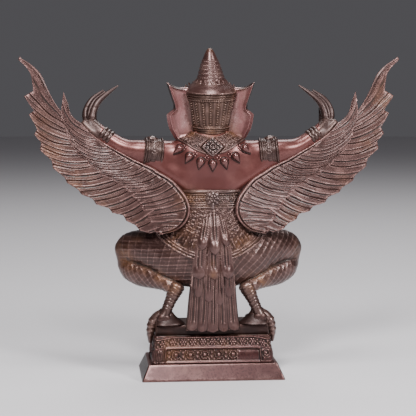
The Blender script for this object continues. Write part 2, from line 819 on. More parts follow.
def feather_layer(tips, line, top, shares, per_feather, relief, thick, edge, hook=(0, 0)):
    """A layer of overlapping feathers between two skins, for the figure's left side. They fan out from a
    line along the rim, and the first one ends in a hook."""
    spline = through([(k, *p) for k, p in enumerate(line)], np.linspace(0, len(line) - 1, 400), ends=0.5)
    spline_place = lengths(spline)
    count = len(tips)
    place = np.linspace(NOTCH_AT, count, count * per_feather + 1)
    keys, ends = [], []
    for i, (tip_x, tip_z, turn, *rest) in enumerate(tips):
        before = tips[i - 1] if i else (0, 0, turn, *top)
        keys += [i + NOTCH_AT, i + TIP_AT]
        ends += [(before[3], before[4], (turn + before[2]) / 2), (tip_x, tip_z, turn)]
    keys.append(count)
    ends.append((tips[-1][3], tips[-1][4], tips[-1][2]))
    ends = np.array(ends, float)
    end = np.stack([np.interp(place, keys, ends[:, k]) for k in (0, 1)], axis=1)
    arrive = np.radians(np.interp(place, keys, ends[:, 2]))
    middles = [NOTCH_AT] + [i + TIP_AT for i in range(count)] + [count]
    starts = [0] + [tip[5] for tip in tips] + [min(1, 2 * tips[-1][5] - tips[-2][5])]
    root_place = np.interp(place, middles, starts) * spline_place[-1]
    root = np.stack([np.interp(root_place, spline_place, spline[:, k]) for k in (0, 1)], axis=1)
    leave = np.radians(np.interp(place, middles, [tips[0][6]] + [tip[6] for tip in tips] + [tips[-1][6]]))
    pull = 0.4 * np.linalg.norm(end - root, axis=1, keepdims=True)
    out = root + pull * np.stack([np.cos(leave), np.sin(leave)], axis=1)
    back_in = end - pull * np.stack([np.cos(arrive), np.sin(arrive)], axis=1)
    s = np.asarray(shares)[None, :, None]
    flat = (
        (1 - s) ** 3 * root[:, None]
        + 3 * s * (1 - s) ** 2 * out[:, None]
        + 3 * s * s * (1 - s) * back_in[:, None]
        + s**3 * end[:, None]
    )
    bend = np.clip((flat[..., 1] - HOOK_FROM) / HOOK_RISE, 0, 1.05) ** 2
    flat = flat + bend[..., None] * np.array(hook, float)
    along = np.zeros(flat.shape[:2])
    along[:, 1:] = np.cumsum(np.linalg.norm(np.diff(flat, axis=1), axis=2), axis=1)
    width = np.zeros(flat.shape[:2])
    width[1:] = np.linalg.norm(np.diff(flat, axis=0), axis=2)
    width[0] = width[1]
    width = per_feather * (width + 1e-6)
    for _ in range(per_feather):
        width[1:-1] = (width[:-2] + 2 * width[1:-1] + width[2:]) / 4
    depth = wing_depth(flat[..., 0], flat[..., 1])
    part = (place - np.floor(place))[:, None]
    rise, marks = relief(part, s[..., 0] + 0 * part, along, width, flat[..., 0])
    back = np.stack([flat[..., 0], depth + rise, flat[..., 1]], axis=-1)
    under = depth - (thick + (edge - thick) * s[..., 0] ** 2) - 0.6 * marks
    front = np.stack([flat[..., 0], under, flat[..., 1]], axis=-1)
    flow = np.stack([(part - 0.46) * width, along], axis=-1)
    return sheet(shell(back, front), shell_flow(flow))


def feather_marks(part, along, width, late):
    """Two bold raised lines on each feather with a cut below each, a short fine one that starts further out,
    and slanting barbs between them."""
    height, between = 0, 99
    for middle, tall, start in ((0.3, 0.85, 4), (0.62, 0.6, late), (0.93, 1.15, 0)):
        offset = (part - middle) * width + 0.4 * np.sin(along * 0.17 + 7 * middle)
        line = ridge(offset, 0.75) - 1.25 * ridge(offset - 1.5, 0.62)
        height = height + tall * line * ease(along, start, start + 5)
        between = np.minimum(between, np.abs(offset - 0.7))
    barbs = 0.13 * np.sin(TURN * (along + 0.9 * part * width) / 2.5)
    return (height + barbs * ease(between, 1.2, 2.2)) * np.clip((width - 5) / 5, 0, 1)


def long_relief(part, s, along, width, x):
    """The long feathers lap over each other like tiles."""
    marks = feather_marks(part, along, width, 58)
    step = 0.7 * np.minimum(ease(part, -0.15, 0.84), 1 - ease(part, 0.88, 0.98)) * np.clip(3 * s, 0, 1)
    return step * np.clip(width / 14, 0, 1) + marks * np.clip(4 * s, 0, 1), marks


def short_relief(part, s, along, width, x):
    """The short feathers rise from a round cord that rims the wing up to the wrist."""
    rimmed = 1 - ease(x, 116, 136)
    cord = 2.9 * dome(along - 2.0, 1.7) * rimmed
    start = ease(along, 3.8, 5.6) * rimmed + 1 - rimmed
    step = 1.7 + 0.5 * np.minimum(ease(part, -0.15, 0.84), 1 - ease(part, 0.88, 0.98))
    marks = feather_marks(part, along, width, 12)
    tip = 1 - 0.75 * ease(s, 0.62, 1.0)
    return np.maximum(cord, (step * tip + marks) * start), marks * start


def wing_parts():
    """The long feathers, with the short ones over their roots."""
    long_shares = np.concatenate([np.linspace(0, 0.34, 8, endpoint=False), np.linspace(0.34, 1, 40)])
    short_shares = np.concatenate([np.linspace(-0.02, 0.12, 14, endpoint=False), np.linspace(0.12, 1, 30)])
    return joined([
        feather_layer(PRIMARIES, UNDER_RIM, (209.8, 320.5), long_shares, 40, long_relief, 5, 1.6, (13.5, -2)),
        feather_layer(COVERTS, RIM, (169, 263), short_shares, 36, short_relief, 4.3, 0.8),
    ])


# Legs

THIGH = [
    (14, 8, 80, 39, 30),
    (42, 1, 84, 37, 30),
    (62, -7, 87.5, 29, 26.5),
    (84, -17, 88, 21.5, 22),
    (99, -24, 86, 17.5, 18),
    (108, -27, 82, 11.5, 12),
]
CALF = [
    (105, -26, 70, 10, 11),
    (97, -23, 66, 15.5, 16),
    (84, -15, 60, 17.5, 17),
    (69, -4, 56, 16, 15),
    (55, 8, 50.5, 12, 12),
    (46, 17, 44, 9, 9),
]
KNEE = [(99, -23, 87, 14, 15), (99.6, -24, 78, 13.4, 15), (97.5, -24, 68, 12, 13)]


def leg_coordinates(points, stations):
    """For points near a limb: the share of its thickness, how far along and how far around they lie."""
    stations = np.array(stations, float)
    place = lengths(stations[:, :3])
    even = np.linspace(0, place[-1], 60)
    values = through(np.column_stack([place, stations]), even)
    along, across, out = frames_along(values[:, :3], (0, 1, 0))
    offset = points[:, None] - values[None, :, :3]
    near = np.argmin((offset**2).sum(axis=2), axis=1)
    pick = offset[np.arange(len(points)), near]
    ahead = (pick * along[near]).sum(axis=1)
    turn = np.arctan2((pick * out[near]).sum(axis=1), (pick * across[near]).sum(axis=1))
    thick = 0.5 * (values[near, 3] + values[near, 4])
    share = np.linalg.norm(pick, axis=1) / thick
    return share, even[near] + ahead, turn * thick


def leg_relief(points, normal):
    """Thin raised lines that cross on the hips, thighs and calves, with a patch of stipple on top."""
    left = points[:, 0] > 0
    folded = points.copy()
    folded[:, 0] = np.abs(folded[:, 0])
    x, z = folded[:, 0], points[:, 2]
    from_thigh, down_thigh, _ = leg_coordinates(folded, THIGH)
    from_calf, down_calf, round_calf = leg_coordinates(folded, CALF)
    on_thigh = ease(from_calf - from_thigh, 0.0, 0.16)
    on_calf = ease(from_thigh - from_calf, 0.06, 0.24)
    slope = z + 0.06 * x
    level = 0.9 * ridge(fold(slope, 9.4), 0.7) + 0.5 * ridge(fold(slope + 4.2, 9.4), 0.5)
    upright = 0.6 * ridge(fold(down_thigh + 0.1 * z, 9), 0.6)
    falling = 0.9 * ridge(fold(down_thigh - 0.95 * z, 8.6), 0.7)
    rising = 0.5 * ridge(fold(down_thigh + 1.1 * z, 9.6), 0.6)
    crossed = 0.7 * ridge(fold(down_calf + 0.9 * round_calf, 8), 0.7)
    crossed = crossed + 0.5 * ridge(fold(down_calf - 0.9 * round_calf, 8), 0.6)
    height = 0.6 * on_thigh * np.where(left, level + upright, falling + rising) + 0.65 * on_calf * crossed
    crease = ridge(from_thigh - from_calf, 0.08) * (np.maximum(from_thigh, from_calf) < 1.4)
    height = height * (1 - ease(x, 104, 112)) - 0.9 * crease * (1 - ease(x, 90, 99))
    patch = np.exp(-(((x - 72) / 13) ** 4) - ((z - 98) / 6) ** 4) * (normal[:, 1] > 0) * left
    stipple = np.cos(TURN * (x + z) / 3.2) * np.cos(TURN * (x - z) / 3.2)
    return height * (1 - patch) + 0.45 * patch * stipple


def hips_and_legs():
    """Hips, thighs and calves as one skin."""
    parts = [torso_tube(48, 152)]
    for stations, sides in ((THIGH, 64), (CALF, 48), (KNEE, 40)):
        parts += both(lambda: tube(stations, 60, sides, blunt=0.5))
    blends = [(side * x, y, z, reach, rounds) for side in (1, -1) for x, y, z, reach, rounds in (
        (103, -26, 78, 24, 60), (50, 14, 46, 14, 20), (30, 8, 120, 26, 40), (18, 26, 110, 20, 20))]
    return carved(fused(parts, 1.08, 7, blends), leg_relief)


SHANK_FROM = np.array((45, 19, 38.0))
SHANK_TO = np.array((57, 22, 11.0))
# The shank's thickness at shares of its length. It runs on into the calf and the heel.
SHANK_GIRTH = [(-0.25, 9.4), (0.0, 8.4), (0.25, 6.9), (0.5, 6.2), (0.8, 6.2), (1.0, 6.8), (1.15, 7.4)]


def shank():
    """A thin shank in uneven folds of skin, smooth at the ankle."""
    def rings(along, turn):
        slanted = along + 0.9 * np.sin(turn + 0.6) + 0.6 * np.sin(along * 0.7)
        folds = 0.7 * np.abs(np.cos(slanted * math.pi / 4.4)) ** 0.8 + 0.1 * np.cos(3 * turn)
        return folds * (1 - ease(along, 27, 31))

    stations = []
    for share, thick in SHANK_GIRTH:
        stations.append((*(SHANK_FROM + share * (SHANK_TO - SHANK_FROM)), thick, thick))
    return tube(stations, 84, 36, rings, blunt=0.6)


# The heel's flare from its top to its underside: [radius, height].
HEEL = [
    (0, 20),
    (5.2, 18.4),
    (6.6, 14.6),
    (8.6, 10.4),
    (11, 7.2),
    (13.6, 4.4),
    (15.4, 2.2),
    (16, 0.9),
    (15.4, 0.2),
    (0, 0.2),
]
# The middle of the flare.
HEEL_X, HEEL_Y = 56.8, 18.4
# The flare is nearly flat outside this, and spreads inwards.
HEEL_SIDE = 66.5


def heel():
    """The smooth flare where the shank meets the ground."""
    keyed = [(k, *p) for k, p in enumerate(HEEL)]
    fine = np.maximum(through(keyed, np.linspace(0, len(HEEL) - 1, 60)), (0, HEEL[-1][1]))
    flare = moved(spun([tuple(p) for p in fine], 48, 0.9), Matrix.Translation((HEEL_X, HEEL_Y, 0)))
    for vert in flare.verts:
        vert.co.x = min(vert.co.x, HEEL_SIDE + 0.1 * (vert.co.x - HEEL_SIDE))
        vert.co.x -= 0.55 * max(0, HEEL_X - vert.co.x)
    return flare


# Toes from root to tip: [root x, root y, tip x, tip y, size].
TOES = [(58, 20, 57, -25, 1.0), (56, 17, 44, -16, 0.9), (54, 17, 43, 21, 0.5)]
OUTER_TOE = [
    (59, 18, 12, 6.4, 6.4),
    (65, 17.6, 8.6, 6.4, 6.8),
    (69.8, 17, 3.0, 5.8, 6.6),
    (72.6, 16.4, -4.5, 4.8, 6.2),
    (73.4, 15.6, -13, 3.9, 5.4),
    (73.4, 14.6, -22, 2.4, 3.6),
]


def foot():
    """Two toes forward, one back and one that bends over the plinth's edge, each scaled, with a claw."""
    flat = (0, 0, 1)
    sole = [(57.5, 26, 7.4, 8, 7.2), (58, 13, 7, 8.6, 6.8), (58.3, 3, 5.6, 7.4, 5.4)]

    def scutes(along, turn):
        return 0.5 * np.abs(np.sin(along * math.pi / 3.4)) ** 0.8 * ease(np.sin(turn), -0.2, 0.4)

    def knuckles(along, turn):
        bumps = 0.8 * ridge(fold(along - 3, 5.6), 1.4) + 0.25 * ridge(fold(along, 2.1), 0.5)
        return bumps * ease(along, 9, 14) * (1 - ease(along, 28, 36)) + 0.1 * np.cos(5 * turn)

    parts = [tube(sole, 30, 32, lambda along, turn: 0.25 * np.sin(along * 1.6), facing=flat)]
    for x0, y0, x1, y1, size in TOES:
        def reach(share, half, rise):
            return (x0 + share * (x1 - x0), y0 + share * (y1 - y0), size * rise, size * half, size * rise)

        toe = [
            reach(0.1, 4.8, 5.0),
            reach(0.3, 4.5, 4.4),
            reach(0.48, 3.8, 3.6),
            reach(0.66, 4.5, 4.0),
            reach(0.78, 3.6, 3.6),
        ]
        claw = [reach(0.68, 3.0, 4.2), reach(0.82, 2.4, 3.4), reach(0.94, 1.5, 2.3), reach(1.0, 0.7, 1.2)]
        parts.append(tube(toe, 40, 24, scutes, facing=flat, blunt=0.7))
        parts.append(tube(claw, 20, 16, facing=flat))
    return joined(parts + [tube(OUTER_TOE, 70, 28, knuckles)])


# Tail

# Stations of the tail: [height, half width, how far back, thickness].
TAIL = [
    (146, 10.5, 33, 12),
    (133, 12, 37, 13),
    (120, 15.5, 41.5, 15),
    (104, 20.5, 43, 14),
    (90, 23, 43.5, 12),
    (57, 26, 42, 10),
    (25, 28.4, 40, 8),
    (8, 30, 39, 7),
    (-8, 33, 38.5, 6),
]
TAIL_BOW = 3
# Rows of feathers from the hem up: each row's overall lift and bulb, then [middle, tip height, half width,
# length] of its feathers.
TAIL_ROWS = [
    (0.0, 1.0, [
        (-25.6, -5.4, 7.6, 56), (-12.8, -6.6, 7.2, 58), (0.2, -7.2, 7.2, 58),
        (13.0, -6.6, 7.4, 58), (25.8, -5.2, 7.6, 56),
    ]),
    (0.3, 0.9, [(-20, 34, 6.6, 44), (-8.4, 25, 6.2, 44), (5.2, 29, 6.8, 46), (18.4, 35, 7.0, 44)]),
    (1.4, 2.6, [(-17.4, 57.5, 8.6, 50), (-0.6, 56.5, 8.6, 48), (17, 57, 9.0, 50)]),
    (2.0, 2.4, [(-15.6, 96, 6.4, 46), (12.8, 92.5, 7.6, 46)]),
    (2.9, 2.8, [(-1.6, 86.5, 8.4, 58)]),
]


def tail_at(z):
    """Half width, place and thickness of the tail at a height."""
    table = np.array(TAIL[::-1], float)
    return [np.interp(z, table[:, 0], table[:, k]) for k in (1, 2, 3)]


def tail_core():
    """The fluted body of the tail, below its feathers."""
    z = np.linspace(TAIL[0][0], -5.5, 110)[:, None]
    across = np.linspace(-1, 1, 81)[None]
    half, back, thick = tail_at(z)
    bow = TAIL_BOW * across**2
    flutes = 0.5 * np.cos(across * 5 * TURN) + 0.2 * np.cos(across * 13 * TURN)
    near = back - bow - 1.4 + flutes
    far = back - bow - thick + 0.5 * flutes - 0.3 * np.cos(z * 0.9)
    x = across * (half - 0.6)

    def grid(y):
        return np.stack([x, y + 0 * x, z + 0 * x], axis=-1)

    return sheet(shell(grid(near), grid(far)))


def tail_feather(tip, half, length, middle, lift, bulge, hem, seed):
    """A long feather with an uneven quill, combed sides and a full round tip."""
    draw = np.random.default_rng(seed)
    round_end = 0.8 + 0.2 * np.sin(np.linspace(0, math.pi / 2, 24))
    v = np.concatenate([np.linspace(0, 0.8, 60, endpoint=False), round_end])[:, None]
    u = np.linspace(-1, 1, 35)[None]
    z = tip + length * (1 - v)
    spread = tail_at(z)[0] / tail_at(tip)[0]
    start, power = (0.9, 4) if hem else (0.84, 2)
    rounding = np.sqrt(np.clip(1 - (np.clip(v - start, 0, 1) / (1 - start)) ** power, 0, 1))
    wide = half * (0.8 + 0.2 * v) * rounding
    lean = draw.uniform(-0.5, 0.5)
    x = middle * spread + u * wide + lean * np.sin(v * 4)
    half_all, back = tail_at(z)[:2]
    across = np.clip(x / half_all, -1.2, 1.2)
    base = back - TAIL_BOW * across**2
    body = np.sqrt(np.clip(1 - np.abs(u) ** 3.2, 0, 1))
    bulb = bulge * ridge(v - 0.86, 0.06 if hem else 0.15) * (1 - u**2)
    fade = 1 - ease(v, 0.62 + 0.12 * hem, 0.8 + 0.1 * hem)
    quill = (1.0 * ridge(u - draw.uniform(-0.08, 0.08), 0.13) - 0.6 * ridge(np.abs(u) - 0.3, 0.1)) * fade
    combs = np.zeros_like(u)
    for place in (-0.74, -0.46, 0.46, 0.74):
        combs = combs + draw.uniform(0.25, 0.7) * ridge(u - place - draw.uniform(-0.08, 0.08), 0.07)
    hatch = 0.14 * np.sin((v * length - 4 * np.abs(u)) * TURN / 2.6)
    flare = (1.6 if hem else 0.0) * ease(v, 0.84, 1.0)
    rise = -1.8 + body * (1.8 + lift * v + bulb + quill + (combs + hatch) * fade) + flare * body
    rise = rise - 1.6 * (1 - ease(v, 0, 0.14))
    edge = np.abs(u) > 0.99
    y = base + np.where(edge, -1.8, rise)
    front = np.stack([x, base - 2.2 + 0 * u, z + 0 * u], axis=-1)
    flow = np.stack([u * half + 0 * v, v * length + 0 * u], axis=-1)
    back = np.stack([x, y, z + 0 * u], axis=-1)
    return sheet(shell(back, front), shell_flow(flow))


def tail():
    """The tail's body with all rows of its feathers."""
    parts = [tail_core()]
    for row, (lift, bulge, feathers) in enumerate(TAIL_ROWS):
        for k, (middle, tip, half, length) in enumerate(feathers):
            parts.append(tail_feather(tip, half, length, middle, lift, bulge, row == 0, 20 * row + k))
    return joined(parts)


# Ornaments on the body

def draped(points, tree, height):
    """A grid of points laid on a skin and raised from it."""
    laid = points.copy()
    lean = np.zeros_like(points)
    for index in np.ndindex(points.shape[:2]):
        laid[index], lean[index] = tree.find_nearest(Vector(points[index]))[:2]
    for _ in range(3):
        lean[1:-1] = (lean[:-2] + 2 * lean[1:-1] + lean[2:]) / 4
        lean[:, 1:-1] = (lean[:, :-2] + 2 * lean[:, 1:-1] + lean[:, 2:]) / 4
    lean /= np.maximum(np.linalg.norm(lean, axis=2, keepdims=True), 1e-6)
    return laid + lean * height[..., None]


COLLAR_INNER, COLLAR_REACH = 23.2, 43.4
COLLAR_MIDDLE = np.array((0, 2, 234.0))
# The radius that the collar's patterns are counted on.
COLLAR_RADIUS = 40


def collar():
    """A broad collar of carved bands, laid round the neck onto the shoulders."""
    turns = np.linspace(0, TURN, 421)
    reach = np.linspace(COLLAR_INNER, COLLAR_REACH + 0.8, 52)
    heights = np.linspace(236, 176, 121)
    surface = torso_points(heights[:, None] + 0 * turns, turns + 0 * heights[:, None], 1.0)
    away = np.linalg.norm(surface - COLLAR_MIDDLE, axis=2)
    points = np.zeros((len(reach), len(turns), 3))
    for k in range(len(turns)):
        for axis in range(3):
            points[:, k, axis] = np.interp(reach, away[:, k], surface[:, k, axis])
    r = reach[:, None]
    t = turns[None]
    around = t * COLLAR_RADIUS
    long_way = TURN * COLLAR_RADIUS
    height = (
        1.5 * ease(r, COLLAR_INNER, COLLAR_INNER + 1)
        + 0.9 * ridge(r - 42.4, 0.6)
        + 0.8 * ridge(r - 40.6, 0.5)
        + 0.9 * ridge(r - 32.8, 0.5)
        + 0.9 * ridge(r - 29.4, 0.5)
        + 0.8 * ridge(r - 24.4, 0.8)
        + 0.9 * beads(around, r - 31.1, long_way / 84, 1.2)
        + 1.2 * scroll(fold(around, long_way / 34), r - 36.7, 3.6)
        + 0.9 * flower(fold(around, long_way / 48), r - 27, 2.5, 4)
    )
    beside = np.abs(points[..., 0]) / 15 + np.abs(points[..., 2] - 211.6) / 14.6
    height = height * (0.1 + 0.9 * ease(beside, 0.92, 1.02))
    height = np.where(r > COLLAR_REACH + 0.3, -1.5, height)
    height[0] = -1
    height[:, -1] = height[:, 0]
    return sheet(draped(points, trunk_tree, height))


def set_on(made, x, z, facing, lift=0.0):
    """A piece drawn about the origin, set on the trunk's skin and turned to lie on it."""
    spot, normal = trunk_tree.ray_cast(Vector((x, facing * OUTSIDE, z)), Vector((0, -facing, 0)))[:2]
    turn = math.atan2(-facing * normal.x, facing * normal.y)
    rise = math.atan2(normal.z, math.hypot(normal.x, normal.y))
    place = Matrix.Translation(spot + lift * normal)
    turned = Matrix.Rotation(facing * 0.7 * turn, 4, "Z")
    leaning = Matrix.Rotation(0.8 * facing * rise, 4, "X")
    return moved(made, place @ turned @ leaning)


def drop(x, grow, deep, back):
    """A drop, round above and pointed below."""
    bm = ball(28, 20)
    for vert in bm.verts:
        low = max(0.0, -vert.co.z)
        narrow = 1 - 0.6 * low**1.6
        vert.co = (
            vert.co.x * 4.5 * narrow * grow,
            vert.co.y * deep * (1 - 0.3 * low) + back,
            (vert.co.z * 4.8 - 3.6 * low**2) * grow,
        )
    return moved(bm, Matrix.Rotation(-0.02 * x, 4, "Y"))


def pearl(x, z, size):
    """A small bead, a little taller than deep."""
    bm = ball(12, 8, size)
    bmesh.ops.scale(bm, vec=(1, 0.9, 1.1), verts=bm.verts)
    return moved(bm, Matrix.Translation((x, 0, z)))


# The places of the drops across the trunk, and of the clusters of beads between them.
DROPS_AT = (-38.4, -27, -14, 0, 14, 27, 38.4)
CLUSTERS_AT = (-32.8, -20.4, -7, 7, 20.4, 32.8)
# The beads of a cluster: [across, up, radius].
CLUSTER = ((0, 2.6, 1.7), (-1.8, 0, 1.35), (1.8, 0, 1.35), (0, -2.2, 1.1))


def collar_drops(grow, deep, back, clusters):
    """Drops under the collar's edge, with small clusters of beads between them."""
    parts = []
    for facing in (1, -1):
        for x in DROPS_AT:
            made = drop(x, grow, deep, back)
            if facing < 0:
                bmesh.ops.scale(made, vec=(1, -1, 1), verts=made.verts)
                bmesh.ops.reverse_faces(made, faces=made.faces)
            parts.append(set_on(made, x, 192.8 + 0.0115 * x * x, facing, 0.8))
        for x in CLUSTERS_AT if clusters else ():
            cluster = joined([pearl(*bead) for bead in CLUSTER])
            parts.append(set_on(cluster, x, 199 + 0.011 * x * x, facing, 0.8))
    return joined(parts)


def medallion(outline, relief, deep, place, facing, rings, steps):
    """A raised plaque of any outline, its relief given by distances across and up."""
    turn = np.linspace(0, TURN, steps + 1)[None]
    share = np.linspace(0, 1, rings)[:, None]
    reach = outline(turn) * share
    x, z = reach * np.cos(turn), reach * np.sin(turn)
    height = deep * (1 - share**2.5) * 0.6 + relief(x, z) + 0.4
    height = np.where(share > 0.99, -5, height)
    points = np.stack([x, facing * height, z], axis=-1) + np.array(place, float)
    points[:, -1] = points[:, 0]
    return sheet(points)


def lozenge(half, tall, power=1.1):
    """The outline of a lozenge whose sides bulge a little."""
    def outline(turn):
        across = (np.abs(np.cos(turn)) / half) ** power
        up = (np.abs(np.sin(turn)) / tall) ** power
        return 1 / (across + up) ** (1 / power)

    return outline


def plaque_relief(x, z):
    """A row of beads along the edge round a small ring, with a pearl below."""
    edge = np.abs(x) / 12.2 + np.abs(z) / 11
    beside = 8.2 * fold(np.abs(x) / 12.2 - np.abs(z) / 11 - 0.267, 0.533)
    pearls = 2.4 * dome(np.hypot(beside, 8.2 * (edge - 0.74)), 1.75)
    r = np.hypot(x, z - 0.2)
    ring = 2.0 * ridge(r - 3.1, 0.9)
    pearl_below = 3.2 * dome(np.hypot(x, z + 7.2), 2.6)
    return np.maximum.reduce([pearls, ring, pearl_below, 0.8 * ridge(edge - 0.97, 0.04)]) - 1.0


def rosette_outline(turn):
    """A round outline of eight petals, drawn to a point below."""
    petals = 8.6 + 0.8 * np.cos(8 * turn)
    point = 3.4 * np.exp(-((fold(turn + math.pi / 2, TURN) / 0.26) ** 2))
    return petals + point


def rosette_relief(x, z):
    """A ring of petals round a flower, with a leaf below."""
    turn = fold(np.arctan2(z, x), TURN / 8)
    r = np.hypot(x, z)
    outer = 1.3 * dome(np.hypot(r * np.cos(turn) - 6.6, r * np.sin(turn)), 2.1)
    leaf = 1.1 * dome(np.hypot(x / 0.8, (z + 9.2) / 1.2), 1.8)
    return np.maximum(outer, leaf) + 1.7 * flower(x, z, 5.0, 6)


def plaques():
    """A lozenge below the nape and a rosette on the belt, behind and in front."""
    parts = []
    for facing in (1, -1):
        plaque = medallion(lozenge(12.6, 11.6), plaque_relief, 1.4, (0, facing * 3.2, 0), facing, 40, 144)
        parts.append(set_on(plaque, 0, 211.6, facing, 1.8))
        y = float(torso_surface(0, 150, facing)) + facing * 4.4
        parts.append(medallion(rosette_outline, rosette_relief, 3.6, (0, y, 151.8), facing, 36, 144))
    return joined(parts)


BELT_LOW = 140
BELT_RADIUS = 38


def belt():
    """A belt with a round upper rim, lines, and a band of small flowers."""
    v = np.linspace(-1, 22.2, 56)[:, None]
    turn = np.linspace(0, TURN, 401)[None]
    points = torso_points(BELT_LOW + v + 0 * turn, turn + 0 * v)
    around = turn * BELT_RADIUS
    pitch = TURN * BELT_RADIUS / 34
    height = (
        1.5
        + 2.3 * dome(v - 19.2, 2.3)
        + 0.8 * dome(v - 15.6, 0.7)
        + 0.7 * dome(v - 6.2, 0.7)
        + 1.3 * dome(v - 3.6, 1.0)
        + 1.2 * dome(v - 0.9, 1.1)
        - 0.8 * (np.abs(v - 10.9) < 4.2)
        + 1.0 * flower(fold(around, pitch), v - 10.9, 3.4, 4)
        + 0.7 * beads(around + pitch / 2, v - 12.9, pitch, 1.1)
        + 0.7 * beads(around + pitch / 2, v - 8.9, pitch, 1.1)
        + 0.4 * beads(around, v - 15.6, pitch / 4, 0.8)
    )
    height = np.where((v < -0.6) | (v > 21.9), -1.5, height)
    height[:, -1] = height[:, 0]
    return sheet(raised(points, height, rolled=True))


CLOTH_EDGE = 87
CLOTH_MIDDLE = 163.6
# The radius that the cloth's patterns are counted on.
CLOTH_RADIUS = 66


def hip_cloth(tree, facing):
    """A cloth with a round hem over the hips, sewn with beads and pendants in lines that fan out."""
    reach = np.concatenate([np.linspace(20, CLOTH_EDGE - 0.4, 104), [CLOTH_EDGE]])[:, None]
    fan = np.radians(np.linspace(-50, 50, 211))[None]
    x, z = reach * np.sin(fan), CLOTH_MIDDLE - reach * np.cos(fan)
    points = np.zeros((*x.shape, 3))
    for index in np.ndindex(x.shape):
        start = Vector((x[index], facing * OUTSIDE, z[index]))
        spot = tree.ray_cast(start, Vector((0, -facing, 0)))[0]
        points[index] = spot if spot else tree.find_nearest(Vector((x[index], facing * 20, z[index])))[0]
    around = fan * CLOTH_RADIUS
    spoke = TURN * CLOTH_RADIUS / 54
    rows = fold(reach - 32.5, 4.6)
    height = (
        1.3
        + 0.9 * ridge(reach - 85.2, 0.8)
        + 0.8 * ridge(reach - 81.8, 0.7)
        + 0.8 * ridge(reach - 78.8, 0.7)
        - 0.7 * ridge(reach - 83.5, 0.5)
        + 0.9 * beads(around, rows, spoke, 1.3) * (reach < 66) * (reach > 26)
        + 0.5 * ridge(np.abs(rows) - 2.1, 0.4) * (reach < 62) * (reach > 26)
        + 1.9 * dome(np.hypot(fold(around, spoke) / 0.85, (reach - 72.0) / 3.0), 1.4)
        + 1.0 * beads(around, reach - 67.0, spoke, 1.5)
        + 0.8 * beads(around + spoke / 2, reach - 69.2, spoke, 1.1)
    )
    height[-1] = -1.5
    height[:, [0, -1]] = -1.5
    return sheet(raised(points, height, outward=(0, facing, 0)))


# Hands and bands on the arms

# The digits of the left hand from root to tip, and the web between the outer two.
DIGITS = [
    [
        (141, -7, 238, 5.4, 5),
        (139.8, -9, 250, 4.6, 4.4),
        (135, -11, 262, 4.1, 3.9),
        (122, -14.5, 274.5, 2.8, 2.8),
        (109.4, -18, 283.5, 1.0, 1.0),
    ],
    [
        (147, -12, 238, 4.6, 4.4),
        (148.4, -15, 252, 3.9, 3.7),
        (141, -18, 267, 3, 3),
        (127, -21, 278, 0.9, 0.9),
    ],
    [(138, -14, 236, 4.4, 4.4), (139, -25, 244, 3.9, 3.9), (137.4, -34, 257, 1.0, 1.0)],
]
PALM = [
    (143.5, -10, 239, 4.6, 4.2),
    (144, -12, 250, 4.0, 3.5),
    (138.6, -14.5, 264, 3.2, 2.9),
    (125, -18, 276, 1.6, 1.5),
]


def hand():
    """Three slim digits that run into long curved claws, webbed between the outer two."""
    def creases(along, turn):
        return 0.3 * ridge(along - 9, 1.6) - 0.25 * ridge(along - 20, 0.8) + 0.1 * np.cos(5 * turn)

    return joined([tube(stations, 60, 30, creases, blunt=0.6) for stations in DIGITS] + [tube(PALM, 50, 24)])


ARMLET_RADIUS = 16.5
ARMLET = [(58.5, 8.4, 204, 17.2, 16.8), (70, 9.7, 205.2, 16.6, 16.4), (81, 11, 206.5, 16, 16)]
BRACELET = [(118.5, 4, 220, 9.6, 10.4), (124, 2.9, 223.7, 9.4, 10.2), (129.5, 1.4, 227.6, 9.1, 10)]


def armlet():
    """A band of fine upright rings either side of a strip of beads, with a knob on top."""
    long = lengths(np.array(ARMLET, float)[:, :3])[-1]

    def relief(along, turn):
        around = turn * ARMLET_RADIUS
        long_way = ARMLET_RADIUS * TURN
        v = np.abs(along - long / 2)
        rings = 1.1 * dome(v - 9.6, 1.4) + 0.7 * dome(v - 6.7, 0.9) + 0.7 * dome(v - 4.6, 0.8)
        pearls = 0.5 * beads(around, v - 9.6, long_way / 60, 0.9)
        strip = 1.0 * beads(around, along - long / 2, long_way / 26, 2.3)
        dots = 0.5 * beads(around + 2, v - 2.3, long_way / 26, 1.0)
        return rings + pearls + strip + dots - 0.6

    knob = ball(32, 20)
    for vert in knob.verts:
        x, y, z = vert.co
        petals = 1 + 0.1 * math.cos(6 * math.atan2(y, x))
        vert.co = (6.4 * petals * x, 5.6 * petals * y, 2.6 * z + 0.8 * max(0, z) ** 6)
    moved(knob, Matrix.Translation((70, 11, 221.4)) @ Matrix.Rotation(-0.12, 4, "Y"))
    return joined([tube(ARMLET, 80, 180, relief, blunt=0.12), knob])


def bracelet():
    """Three plain rings round the wrist."""
    long = lengths(np.array(BRACELET, float)[:, :3])[-1]

    def relief(along, turn):
        return 1.0 * dome(fold(along - long / 2, 4.5), 2.1) - 0.4 + 0.06 * np.cos(7 * turn)

    return tube(BRACELET, 60, 90, relief, blunt=0.15)


# Head, drawn above the nape and then tilted into place

# Stations of the head: [height, middle, half width, half depth].
HEAD_CORE = [
    (-4, -9, 14, 12),
    (4, -8, 20, 20),
    (17, -6, 24.5, 25),
    (36, -4, 26.5, 26),
    (52, -1, 26, 25),
]


def ringed(heights, profile, relief, columns, middle=0, squash=1.0):
    """A turned piece from a profile of [height, radius], with relief by height and angle."""
    z = heights[:, None]
    turn = np.linspace(0, TURN, columns + 1)[None]
    reach = np.interp(z, *np.array(profile, float).T) + relief(z, turn)
    reach[:, -1] = reach[:, 0]
    x = np.cos(turn) * reach
    y = middle + squash * np.sin(turn) * reach
    return sheet(capped(np.stack([x, y, z + 0 * turn], axis=-1)))


